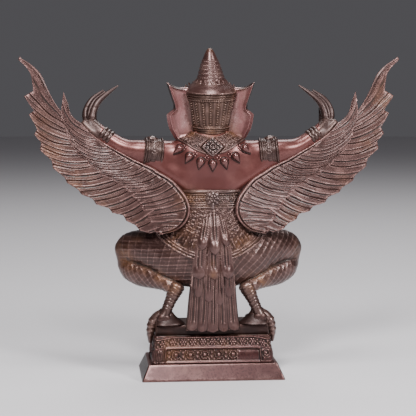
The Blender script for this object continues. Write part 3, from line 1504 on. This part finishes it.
def head_skin():
    """The head without its beak, with soft cheeks, a chin and hollows for the eyes."""
    rows = np.linspace(-4, 52, 60)
    centre, half, deep = through(HEAD_CORE, rows).T[:, :, None]
    turn = np.linspace(0, TURN, 81)[None]
    x, y = np.cos(turn) * half, centre + np.sin(turn) * deep
    parts = [sheet(capped(np.stack([x, y, rows[:, None] + 0 * turn], axis=-1)))]
    parts += both(lambda: tube([(9, -22, 14, 7), (14, -25, 20, 8.5), (19, -20, 26, 7)], 24, 32))
    parts += [tube([(0, -20, 3, 9, 6), (0, -27, 6, 8, 6), (0, -31, 9, 6, 4)], 24, 32, facing=(0, 0, 1))]
    skin = fused(parts, 1.0, 10, [(0, -26, 12, 24, 12), (18, -22, 20, 16, 30), (-18, -22, 20, 16, 30)])

    def hollows(points, normal):
        x = np.abs(points[:, 0])
        return -2.2 * np.exp(-(((x - 11.5) / 6.5) ** 2) - ((points[:, 2] - 33) / 5) ** 2) * (points[:, 1] < 0)

    return carved(skin, hollows)


def beak():
    """A hooked upper beak with a ridge, a cere and nostrils, closed over the lower one."""
    def upper_relief(along, turn):
        crest = 0.9 * ridge(fold(turn - math.pi / 2, TURN), 0.3)
        lip = 0.8 * ridge(np.abs(fold(turn + math.pi / 2, TURN)) - 1.15, 0.2)
        beside = np.abs(fold(turn - math.pi / 2, TURN)) - 0.8
        nostril = -1.4 * np.exp(-((along - 12) ** 2) / 5 - beside**2 / 0.05)
        return crest + lip + nostril + 0.8 * ridge(along - 8, 1.4)

    upper = [(0, -24, 22, 12, 8), (0, -36, 22.5, 9, 6.6), (0, -44, 19, 6, 5), (0, -48.2, 12, 2.6, 2.6)]
    lower = [(0, -22, 12, 10, 5), (0, -34, 10.5, 7, 3.6), (0, -42, 9, 3.4, 2)]
    return [
        tube(upper, 70, 64, upper_relief, facing=(0, 0, 1)),
        tube(lower, 50, 48, facing=(0, 0, 1)),
    ]


EYE_LEVEL = 32.6
EYE_RADIUS = 5.0
BROW = [(3, -32.5, 37, 2.2), (8, -33, 41, 2.8), (15, -30, 43, 2.6), (21.5, -23, 41, 2.0), (26, -15, 44, 1.0)]
CHEEK = [
    (8, -33.5, 14, 1.6),
    (14, -32, 11, 1.9),
    (19.5, -26.5, 12.5, 1.8),
    (21, -23.5, 17.5, 1.5),
    (18.5, -25, 20, 1.0),
]


def eye_and_brow():
    """A round lidded eye below a brow that rises and curls back to the ear."""
    parts = [moved(ball(32, 24, EYE_RADIUS), Matrix.Translation((11.5, -27.8, EYE_LEVEL)))]
    for rise, half in ((3.6, 1.5), (-3.8, 1.1)):
        lid = [
            (4.8, -29.5, 32.4),
            (8, -32.6, EYE_LEVEL + 0.8 * rise),
            (12.5, -32.4, EYE_LEVEL + rise),
            (17, -28.6, EYE_LEVEL + 0.7 * rise),
            (20, -24.5, 32.8),
        ]
        parts.append(tube([(*p, half) for p in lid], 40, 16))
    parts.append(tube(BROW, 60, 24, lambda along, turn: 0.3 * np.cos(along * 2.6)))
    parts.append(tube(CHEEK, 60, 20, lambda along, turn: 0.25 * np.cos(along * 2.4)))
    return joined(parts)


EAR_RIM = [
    (26.5, -9, 16, 1.6),
    (29.5, -7, 21, 2.0),
    (32.5, -5.5, 28, 2.3),
    (31.5, -6, 35, 2.2),
    (27.5, -9, 36.5, 1.8),
    (26, -11, 31, 1.5),
    (27.5, -9.5, 26, 1.3),
]


def ear():
    """An ear in front of the flange, with a hanging drop."""
    pendant = ball(24, 16)
    for vert in pendant.verts:
        x, y, z = vert.co
        vert.co = (3.4 * x, 2.6 * y, 5.2 * z * (1 if z > 0 else 1.3))
    moved(pendant, Matrix.Translation((28.5, -8, 10)))
    return joined([tube(EAR_RIM, 90, 20), pendant])


# Profiles of the hair and of the crown on it: [height, radius].
HAIR = [(2.2, 19.6), (3, 20.4), (12, 22.6), (12.7, 22.2), (42.3, 28.1), (42.9, 28.7), (51.4, 30), (54, 30.3)]
RIBS = 18


def hair():
    """Hair gathered in upright ribs, plain and beaded by turns, between rings."""
    def relief(z, turn):
        column = fold(turn * RIBS / TURN + 0.25, 1)
        other = fold(turn * RIBS / TURN + 0.75, 1)
        plain = ease(0.17 - np.abs(column), 0, 0.08)
        pearls = dome(np.hypot(other / 0.16, fold(z, 3.0) / 1.3), 1)
        ribs = 1.2 * plain + 1.5 * pearls - 0.9 + 0.5 * ridge(np.abs(other) - 0.27, 0.05)
        ribs = ribs * ease(z, 12.4, 13.4) * (1 - ease(z, 41.4, 42.4))
        rings = 1.1 * dome(z - 4.5, 1.2) + 1.1 * dome(z - 7.3, 1.1) + 0.5 * dome(z - 10.1, 1.3)
        low_pearls = 0.9 * beads(turn * 22, z - 10.1, TURN * 22 / 62, 1.1)
        top_pearls = 0.8 * beads(turn * 29, z - 43.8, TURN * 29 / 80, 1.0)
        top = top_pearls + 1.1 * dome(z - 46.3, 1.1) + 1.1 * dome(z - 49.1, 1.1)
        cap = 1.5 * dome(z - 52.6, 1.8)
        return ribs + rings + low_pearls + top + cap

    return ringed(np.linspace(HAIR[0][0], HAIR[-1][0], 200), HAIR, relief, 480, 1, 0.92)


CROWN = [
    (52.4, 30.4),
    (53.2, 31.4),
    (54.2, 31),
    (56.4, 29.2),
    (59.4, 25),
    (62.4, 20.6),
    (65.2, 17.6),
    (68.4, 16),
    (75.8, 13.9),
    (83, 11.6),
    (90, 8.9),
    (95, 6.9),
    (99, 5),
    (101.6, 3.2),
    (102.8, 1.4),
    (103, 0.2),
]
# Rows of beads round the spire: [height, beads, radius].
SPIRE_ROWS = [(69.6, 50, 15.7), (74.6, 46, 14.2), (79.2, 42, 12.8), (83.8, 36, 11.3), (88.2, 30, 9.6)]
# The spire leans from this height, by this much at its tip.
LEAN_FROM = 64
LEAN = 2


def crown():
    """A low smooth dome and a spire with fine rows of beads, its plain tip leaning a little."""
    def relief(z, turn):
        rings = 0.5 * dome(z - 53.2, 0.9)
        for place, pearls, radius in SPIRE_ROWS:
            fine = beads(turn * radius + z, z - place, TURN * radius / pearls, 0.8)
            rings = rings + 0.45 * fine + 0.35 * ridge(np.abs(z - place) - 1.5, 0.35)
        across = np.abs(fold(turn, TURN / 18)) * 17
        teeth = 0.8 * (1 - ease(across - 2.9 * np.clip((67 - z) / 4.5, 0, 1), -0.4, 0.2))
        return rings + teeth * ease(z, 62.2, 63) * (z < 67.2)

    low, high = CROWN[0][0], CROWN[-1][0]
    rows = np.concatenate([np.linspace(low, high - 3, 200, endpoint=False), np.linspace(high - 3, high, 20)])
    whole = ringed(rows, CROWN, relief, 300)
    for vert in whole.verts:
        vert.co.x += LEAN * max(0, vert.co.z - LEAN_FROM) / (high - LEAN_FROM)
    return whole


def leaf(half, tall, deep):
    """A pointed leaf that stands upright and bulges forward, veined and rimmed."""
    v = np.sin(np.linspace(0, math.pi / 2, 30))[:, None]
    u = np.linspace(-1, 1, 25)[None]
    shape = half * np.clip(1 - v**2.2, 0, 1) ** 0.75 * (0.85 + 0.25 * np.sin(v * 2.6))
    rim = 0.5 * ridge(np.abs(u) - 0.8, 0.12)
    vein = 0.6 * ridge(u, 0.12) + 0.35 * np.cos((v * tall - 2 * np.abs(u)) * 2.4) * (np.abs(u) < 0.66)
    bulge = deep * (1 - 0.7 * v) * (1 - u**2) ** 0.5
    x, z = u * shape, v * tall + 0 * u
    front = np.stack([x, -bulge - (rim + vein) * np.clip(1.2 - v, 0, 1) - 0.4, z], axis=-1)
    back = np.stack([x, 0.5 + 0.4 * (1 - u**2) + 0 * v, z], axis=-1)
    return sheet(shell(back, front))


def diadem():
    """A row of leaves round the front of the crown, with a taller one in the middle."""
    parts = [moved(leaf(9.5, 22, 3.2), Matrix.Translation((0, -29.5, 46.5)) @ Matrix.Rotation(0.06, 4, "X"))]
    for k in range(-6, 7):
        if k:
            turn = k * 0.235 + 0.16 * (k > 0) - 0.16 * (k < 0)
            size = 1 - 0.05 * max(0, abs(k) - 1) - 0.06 * max(0, abs(k) - 3)
            lean = Matrix.Translation((0, -31, 47)) @ Matrix.Rotation(0.1, 4, "X") @ Matrix.Scale(size, 4)
            parts.append(moved(leaf(3.9, 13.5, 1.6), Matrix.Rotation(turn, 4, "Z") @ lean))
    return joined(parts)


# The ear plate's edges from its foot to its top: [share of the way, across, up].
FLANGE_INNER = [(0, 20, -5), (0.5, 24, 25), (1, 27, 57)]
FLANGE_OUTER = [
    (0, 40.4, -7),
    (0.1, 43.8, -3),
    (0.22, 49.8, 8),
    (0.34, 52, 17),
    (0.43, 53, 25),
    (0.5, 48.6, 28.6),
    (0.55, 44.6, 31.6),
    (0.62, 45, 37),
    (0.76, 48.4, 47),
    (0.9, 51.8, 57.4),
    (1, 53.4, 63.6),
]
# The right ear plate's width, as a share of the left one's.
RIGHT_FLANGE_WIDTH = 0.965


def flange():
    """An ear plate, dished and polished behind, with a thick outer edge and scrollwork in front."""
    s = np.linspace(0, 1, 110)
    inner = np.stack([np.interp(s, *np.array(FLANGE_INNER, float).T[[0, k]]) for k in (1, 2)], axis=-1)
    outer = np.stack([np.interp(s, *np.array(FLANGE_OUTER, float).T[[0, k]]) for k in (1, 2)], axis=-1)
    outer[1:-1] = (outer[:-2] + 2 * outer[1:-1] + outer[2:]) / 4
    t = np.concatenate([np.linspace(0, 0.8, 30, endpoint=False), np.linspace(0.8, 1, 26)])[None, :]
    flat = inner[:, None] * (1 - t[..., None]) + outer[:, None] * t[..., None]
    x, z = flat[..., 0], flat[..., 1]
    s = s[:, None]
    z = z - 2.6 * np.sin(math.pi * np.clip((t - 0.1) / 0.8, 0, 1)) * ease(s, 0.9, 1)
    margin = 2.2 + 2.2 * (1 - s)
    edge = np.minimum.reduce([(1 - t) * 24 + 0 * s, s * 60 + 0 * t, (1 - s) * 60 + 0 * t])
    sunk = 2.0 * ease(edge, margin, margin + 5) - 0.6 * ridge(edge - margin, 0.9)
    round_edge = 3.0 * (1 - np.clip(edge / margin, 0, 1)) ** 1.3
    back = np.stack([x, 10 - sunk - round_edge, z], axis=-1)
    curls = 0.9 * scroll(x - 36, z - 12, 8) + 0.9 * scroll(x - 39, z - 26, 6.5, -1)
    curls = curls + 0.9 * scroll(x - 38, z - 42, 6)
    rim = 0.9 * ridge(edge - 2.6, 1.0)
    front = np.stack([x, 4.6 + 0.3 * round_edge - 0.8 * rim - curls * ease(edge, 3, 5), z], axis=-1)
    return sheet(shell(back, front))


def flanges():
    """Both ear plates, the right one a little narrower."""
    right, left = both(flange)
    bmesh.ops.scale(right, vec=(RIGHT_FLANGE_WIDTH, 1, 1), verts=right.verts)
    return joined([right, left])


# Front cloth

FLAP_TOP, FLAP_HEM = 146, 22
FLAP_HALF = 15
FLAP_FLARE = 6
FLAP_THICK = 9


def front_flap():
    """A cloth that hangs in front, bordered and carved down the middle."""
    share = np.concatenate([np.linspace(0, 0.96, 150, endpoint=False), np.linspace(0.96, 1, 14)])[:, None]
    u = np.linspace(-1, 1, 81)[None]
    half = FLAP_HALF + FLAP_FLARE * share**2
    point = 6 * (1 - u**2) * ease(share, 0.9, 1)
    z = FLAP_TOP + (FLAP_HEM - FLAP_TOP) * share - point
    front = -29 - 8 * np.sin(math.pi * np.minimum(share * 1.15, 1)) + 3 * u**2
    x = u * half
    side = half - np.abs(x)
    foot = (1 - share) * (FLAP_TOP - FLAP_HEM)
    edge = np.minimum(side, foot)
    down = share * (FLAP_TOP - FLAP_HEM)
    carving = (
        0.9 * ridge(edge - 1.0, 0.8)
        + 0.7 * ridge(edge - 3.6, 0.6)
        + 0.7 * beads(down, side - 5.4, 2.6, 1.0) * (foot > 6)
        + 1.0 * flower(x, fold(down - 9, 18), 5.0, 8) * (foot > 14)
        + 0.9 * dome(np.hypot(x / 2.2, fold(down, 18) / 3.4), 1) * (foot > 10)
        + 0.7 * ridge(fold(np.abs(x) - 0.28 * np.abs(fold(down - 9, 18)) - 6.4, 30), 0.6) * (foot > 8)
    )
    pleats = 0.8 * np.cos(u * 2 * TURN) * ease(share, 0.75, 1)
    round_edge = 1.6 * (1 - np.sqrt(np.clip(1 - (1 - np.clip(edge / 1.6, 0, 1)) ** 2, 0, 1)))
    near = np.stack([x, front + 1.2 - carving + pleats + round_edge, z], axis=-1)
    far = np.stack([x, front + FLAP_THICK - round_edge + 0 * z, z], axis=-1)
    return sheet(shell(far, near))


# Plinth, drawn above the ground

TIER_HEIGHT = 31
CORNER = 2.2
# Levels from the ground up: [height, half width, front, back].
FOOT_BASE = (0, 84.8, -45.8, 52.7)
FOOT_TOP = (19, 77.3, -38.3, 45.2)
TIER_FOOT = (19, 71.6, -32.6, 39.5)
TIER_TOP = (50, 68.6, -29.6, 36.5)
MOUND_FOOT = (50, 68.6, -29.6, 27.1)
MOUND_TOP = (63, 68, -29, 26.5)


def tier_relief(u, v, half, face):
    """Carving on one face of the tier: a panel of rosettes, a frame, and a band of flowers above it. The
    back's panel is worn smooth at one end, and its two end columns differ."""
    grand, back = face != "side", face == "back"
    panel_half = half - (15 if grand else 12)
    bow = 3.2 * ease(np.abs(u), half - 22, half - 1) if grand else 1.2 * ease(np.abs(u), half - 12, half - 1)
    top = v + bow
    frame_top = v + 0.7 * bow
    pitch = 17 if grand else panel_half
    petals = 2 * (half - 4) / round((half - 4) / (6.1 if grand else 6.6))
    inside = (np.abs(u) < panel_half) & (v > 3.2) & (frame_top < 16.8)
    line = 1.5 * ridge(frame_top - 18.6, 1.1) * (np.abs(u) < panel_half + 1.6)
    line = np.maximum(line, 1.5 * ridge(np.abs(u) - panel_half - 1.2, 1.0) * (frame_top < 19.2) * (v > 1.5))
    shifted = u + (10 if back else 0 if grand else pitch / 2)
    where = fold(shifted, pitch)
    wear = ease(u, 26, 34) if back else 0 * u
    r = np.hypot(where, v - 9.8)
    rosettes = 1.3 * ridge(r - 4.6, 0.8) + 1.8 * dome(r, 2.6) + 0.7 * beads(
        np.arctan2(v - 9.8, where) * 4.6, r - 4.6, 4.6 * TURN / 10, 1.1
    )
    pairs = 1.5 * dome(np.hypot(fold(where + pitch / 2, pitch), np.abs(v - 9.8) - 2.6), 1.7)
    beside = np.abs(fold(where + pitch / 2, pitch)) - 3.0
    petal_tips = 1.1 * dome(np.hypot(beside, np.abs(v - 9.8) - 5.2), 1.3)
    panel = -1.9 + np.maximum.reduce([rosettes, pairs, petal_tips]) * (1 - wear) + 1.7 * wear * dome(v - 8, 7)
    column = np.abs(u) - half + 7.2
    hand = np.sign(u)
    leaf_end = 1.5 * dome(np.hypot(column / 4.2, (v - 9) / 7.4), 1)
    leaf_end = leaf_end + 0.5 * np.cos(column * TURN / 2.1) * (v < 16)
    curl_end = 1.8 * scroll(column, v - 11.5, 6.2) + 1.2 * dome(np.hypot(column + 2, v - 5.4), 2.6)
    ends = np.where(hand > 0, curl_end, leaf_end) if back else leaf_end
    blooms = 1.7 * flower(fold(u, petals), (top - 25.2) * 0.92, 4.5, 6)
    seeds = 1.2 * dome(np.hypot(fold(u + petals / 2, petals), np.abs(top - 25.2) - 2.7), 1.5)
    band = (top > 20.6) * (top < 30.6)
    height = np.where(inside, panel, 0.0) + line
    height = height + ends * (np.abs(u) > panel_half + 2.8) * (frame_top < 17.6)
    height = height + (-1.1 + np.maximum(blooms, seeds)) * (np.abs(u) < half - 1.5) * band
    height = height + 0.9 * ridge(top - 20.8, 0.5) + 1.0 * ridge(top - 30.6, 0.7) + 0.9 * ridge(v - 1.3, 0.9)
    height = height - 1.6 * ease(top, 31.4, 32.6)
    return height * ease(half - np.abs(u), 0.2, 1.8)


def plinth():
    """The whole plinth as one skin from its underside to its top, with carving on four sides."""
    rows = []

    def climb(low, high, count, carved_rows=False):
        for share in np.linspace(0, 1, count):
            level = np.array(low) * (1 - share) + np.array(high) * share
            rows.append((*level, carved_rows, share))

    def inset(level, by):
        height, half, front, back = level
        return (height, half - by, front + by, back - by)

    for by in (45, 20, 4, 1.2):
        rows.append((*inset(FOOT_BASE, by), False, 0))
    rows.append((0.35, *FOOT_BASE[1:], False, 0))
    climb((1.2, *FOOT_BASE[1:]), (17.8, *FOOT_TOP[1:]), 22)
    rows.append((18.6, *inset(FOOT_TOP, 0.3)[1:], False, 0))
    rows.append((19.0, *inset(FOOT_TOP, 1.2)[1:], False, 0))
    climb(inset(FOOT_TOP, 2.0), inset(TIER_FOOT, -0.8), 4)
    rows.append((17.6, *inset(TIER_FOOT, 0)[1:], False, 0))
    climb(TIER_FOOT, TIER_TOP, 92, True)
    climb((50.3, *inset(TIER_TOP, 0.9)[1:]), (50.3, *inset(MOUND_FOOT, 0.9)[1:]), 8)
    climb((50.9, *MOUND_FOOT[1:]), (61.8, *MOUND_TOP[1:]), 14)
    rows.append((62.7, *inset(MOUND_TOP, 0.4)[1:], False, 0))
    for by in (1.4, 4, 12, 24):
        rows.append((*inset(MOUND_TOP, by), False, 0))
    arc = np.linspace(math.pi / 4, 0, 5, endpoint=False)
    shares = {True: np.linspace(-1, 1, 261), False: np.linspace(-1, 1, 131)}
    points = []
    for height, half, front, back, carved_row, share in rows:
        middle, deep = (front + back) / 2, (back - front) / 2
        ring = []
        for ax, ay in ((-1, 0), (0, -1), (1, 0), (0, 1)):
            grand = ax != 0
            reach, out = (half, deep) if grand else (deep, half)
            end = reach - CORNER * (1 - np.sin(arc))
            side = out - CORNER * (1 - np.cos(arc))
            along = np.concatenate([-end, shares[grand] * (reach - CORNER), end[::-1]])
            away = np.concatenate([side, out + 0 * shares[grand], side[::-1]])
            nx, ny = -ay, ax
            if carved_row:
                face = ("back" if ny < 0 else "front") if grand else "side"
                away = away + tier_relief(along, share * TIER_HEIGHT + 0 * along, reach, face)
            x = ax * along - nx * away
            y = ay * along - ny * away
            ring.append(np.stack([x, middle + y, height + 0 * x], axis=-1))
        ring = np.concatenate(ring)
        points.append(np.concatenate([ring, ring[:1]]))
    return sheet(capped(np.array(points)))


# Assembly

def build():
    """Every piece of the figure and plinth, in its place."""
    hips = hips_and_legs()
    body_tree = tree_of(hips)
    cloths = joined([hip_cloth(body_tree, 1), hip_cloth(body_tree, -1)])
    body = add(trunk_skin, "torso_and_arms", smooth_bronze, reach=14, depth=0.8,
               other=(claw_bronze, lambda place, normal: abs(place.x) > 131))
    add(hips, "hips_and_legs", scaled_bronze, reach=5, depth=0.3)
    for made, side in zip(both(wing_parts), ("right", "left")):
        add(made, "wing_" + side, feather_bronze, reach=6, depth=0.42)
    for made, side in zip(both(lambda: joined([shank(), heel(), foot()])), ("right", "left")):
        add(made, "shank_and_foot_" + side, carved_bronze, reach=4, depth=0.55,
            other=(mound_bronze, lambda place, normal: place.z < PLINTH_TOP + 13 and abs(place.x) < 66))
    add(tail(), "tail", tail_bronze, reach=7, depth=0.45)
    add(cloths, "hip_cloth", trim_bronze, reach=6, depth=0.4)
    add(belt(), "belt", carved_bronze, reach=7, depth=0.5)
    add(collar(), "collar", trim_bronze, reach=7, depth=0.5)
    add(collar_drops(1.0, 4.8, 1.3, True), "collar_drops", gem_bronze, reach=2, depth=1.2)
    add(collar_drops(1.24, 1.9, 0.2, False), "drop_rims", mound_bronze, reach=2, depth=1.2)
    add(plaques(), "plaques", plaque_bronze, reach=12, depth=0.7)
    for made, side in zip(both(hand), ("right", "left")):
        add(made, "claws_" + side, claw_bronze, reach=2, depth=0.8)
    add(joined(both(armlet) + both(bracelet)), "arm_bands", carved_bronze, reach=6, depth=0.6)
    add(front_flap(), "front_flap", carved_bronze, reach=7, depth=0.4)

    def on_head(made):
        """A piece of the head, tilted into place."""
        if isinstance(made, bpy.types.Mesh):
            made.transform(head_place)
            return made
        return moved(made, head_place)

    add(on_head(head_skin()), "face", smooth_bronze, reach=10, depth=0.6)
    add(on_head(joined(beak() + both(eye_and_brow))), "beak_and_eyes", smooth_bronze, reach=6, depth=0.4)
    add(on_head(joined(both(ear))), "ears", smooth_bronze, reach=6, depth=0.4)
    add(on_head(hair()), "hair", hair_bronze, reach=7, depth=0.6)
    add(on_head(crown()), "crown", crown_bronze, reach=7, depth=0.45)
    add(on_head(diadem()), "diadem", crown_bronze, reach=5, depth=0.35)
    add(on_head(flanges()), "ear_flanges", polished_bronze, reach=7, depth=0.6,
        other=(mound_bronze, lambda place, normal: normal.y < 0.6))
    base = add(plinth(), "carved_plinth", plinth_bronze, reach=7, depth=0.4, lift=0,
               other=(mound_bronze, lambda place, normal: place.z > 50.5 or abs(normal.x) > 0.6))
    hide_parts("plinth")
    return body


body = build()
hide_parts("garuda_figure")


# Camera, floor and lights

FLOOR_COLOUR = (0.62, 0.6, 0.62, 1)
SURROUND_COLOUR = (0.5, 0.49, 0.53, 1)
SURROUND_STRENGTH = 0.17
# The lamps: [name, place in metres, width, power]. All point at the figure's middle.
LAMPS = (
    ("key", (0.4, 1.65, 1.5), 0.6, 54),
    ("fill", (-1.3, 1.35, 1.1), 0.5, 36),
    ("top", (0.0, 0.6, 1.9), 0.6, 22),
    ("front", (-0.4, -1.5, 2.3), 1.4, 34),
)
LAMP_AIM = Vector((0, 0, 0.2))
# The camera looks at its aim from this angle round the figure and this one above it, from so far away
# that this much shows across the picture.
CAMERA_AIM = Vector((0.003, 0, 0.2008))
CAMERA_AROUND = math.radians(175)
CAMERA_ABOVE = math.radians(5.5)
CAMERA_AWAY = 1.8
CAMERA_SHOWN = 0.499
SENSOR_WIDTH = 36


def studio():
    """A pale floor, dim surroundings, four lamps and the photograph's camera."""
    bm = bmesh.new()
    bmesh.ops.create_circle(bm, cap_ends=True, segments=96, radius=6)
    mesh = bpy.data.meshes.new("floor")
    bm.to_mesh(mesh)
    floor = bpy.data.objects.new("floor", mesh)
    bpy.context.scene.collection.objects.link(floor)
    material = bpy.data.materials.new("pale_floor")
    material.use_nodes = True
    shader = material.node_tree.nodes["Principled BSDF"]
    shader.inputs["Base Color"].default_value = FLOOR_COLOUR
    shader.inputs["Roughness"].default_value = 0.9
    mesh.materials.append(material)
    world = bpy.data.worlds.new("studio")
    bpy.context.scene.world = world
    world.use_nodes = True
    background = world.node_tree.nodes["Background"]
    background.inputs["Color"].default_value = SURROUND_COLOUR
    background.inputs["Strength"].default_value = SURROUND_STRENGTH
    for name, place, size, power in LAMPS:
        light = bpy.data.lights.new(name, "AREA")
        light.shape = "DISK"
        light.size = size
        light.energy = power
        lamp = bpy.data.objects.new(name, light)
        lamp.location = place
        lamp.rotation_euler = (LAMP_AIM - Vector(place)).to_track_quat("-Z", "Y").to_euler()
        bpy.context.scene.collection.objects.link(lamp)
    camera = bpy.data.cameras.new("camera")
    eye = bpy.data.objects.new("camera", camera)
    bpy.context.scene.collection.objects.link(eye)
    bpy.context.scene.camera = eye
    level = math.cos(CAMERA_ABOVE)
    back = Vector((
        math.sin(CAMERA_AROUND) * level, -math.cos(CAMERA_AROUND) * level, math.sin(CAMERA_ABOVE)
    ))
    eye.location = CAMERA_AIM + CAMERA_AWAY * back
    eye.rotation_euler = back.to_track_quat("Z", "Y").to_euler()
    camera.sensor_width = SENSOR_WIDTH
    camera.lens = SENSOR_WIDTH * CAMERA_AWAY / CAMERA_SHOWN


studio()
